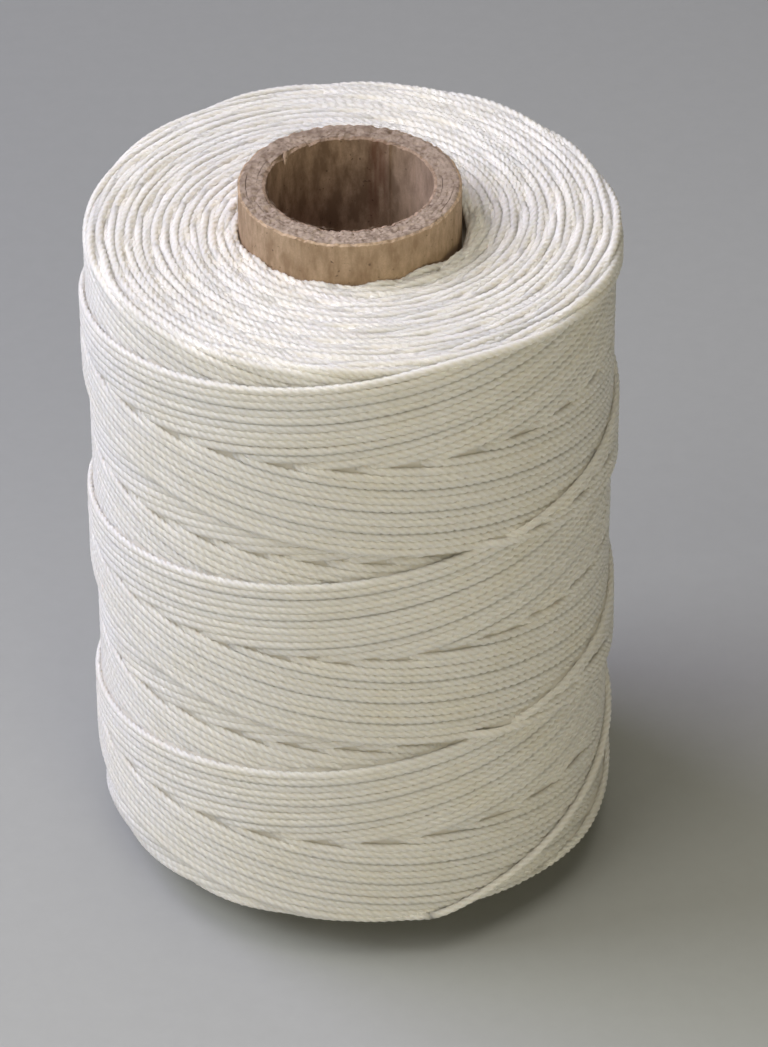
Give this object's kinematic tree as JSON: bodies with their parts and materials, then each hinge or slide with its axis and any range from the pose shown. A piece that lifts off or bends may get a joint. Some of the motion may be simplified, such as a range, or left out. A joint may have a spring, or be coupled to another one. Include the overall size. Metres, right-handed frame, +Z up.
{
  "type": "waxed thread spool",
  "caption": "Straight-sided spool of thick waxed twisted thread, cross-wound on a plain brown paper tube that stands proud of the thread at both ends.",
  "frame": {"origin": "centre of the tube's lower end, on the tube's axis", "axes": "+Z up along the tube's axis, -Y towards the front, +X to the right seen from the front"},
  "size_m": [0.062, 0.062, 0.0889],
  "materials": {
    "liner_paper": "matt brown lining paper",
    "tube_board": "grey-brown fibrous board, sawn at the ends",
    "kraft_paper": "smooth kraft with faint lengthwise mottling",
    "waxed_thread": "ivory white twisted thread with a soft wax sheen"
  },
  "bodies": {
    "spool": {"tube_liner": "liner_paper", "tube_board_1": "tube_board", "tube_board_2": "tube_board", "tube_board_3": "tube_board", "tube_board_4": "tube_board", "tube_outer_ply": "kraft_paper", "thread_coat_01": "waxed_thread", "thread_coat_02": "waxed_thread", "thread_coat_03": "waxed_thread", "thread_coat_04": "waxed_thread", "thread_coat_05": "waxed_thread", "thread_coat_06": "waxed_thread", "thread_coat_07": "waxed_thread", "thread_coat_08": "waxed_thread", "thread_coat_09": "waxed_thread", "thread_coat_10": "waxed_thread", "thread_coat_11": "waxed_thread", "thread_coat_12": "waxed_thread", "last_wrap": "waxed_thread"},
    "free_end": {"thread_end": "waxed_thread"}
  },
  "joints": [
    {"name": "free_end_lift", "type": "hinge", "parent": "spool", "child": "free_end", "pos_m": [0.01995, 0.02378, 0.02335], "axis": [0, 0, -1], "range_deg": [0, 80]}
  ]
}
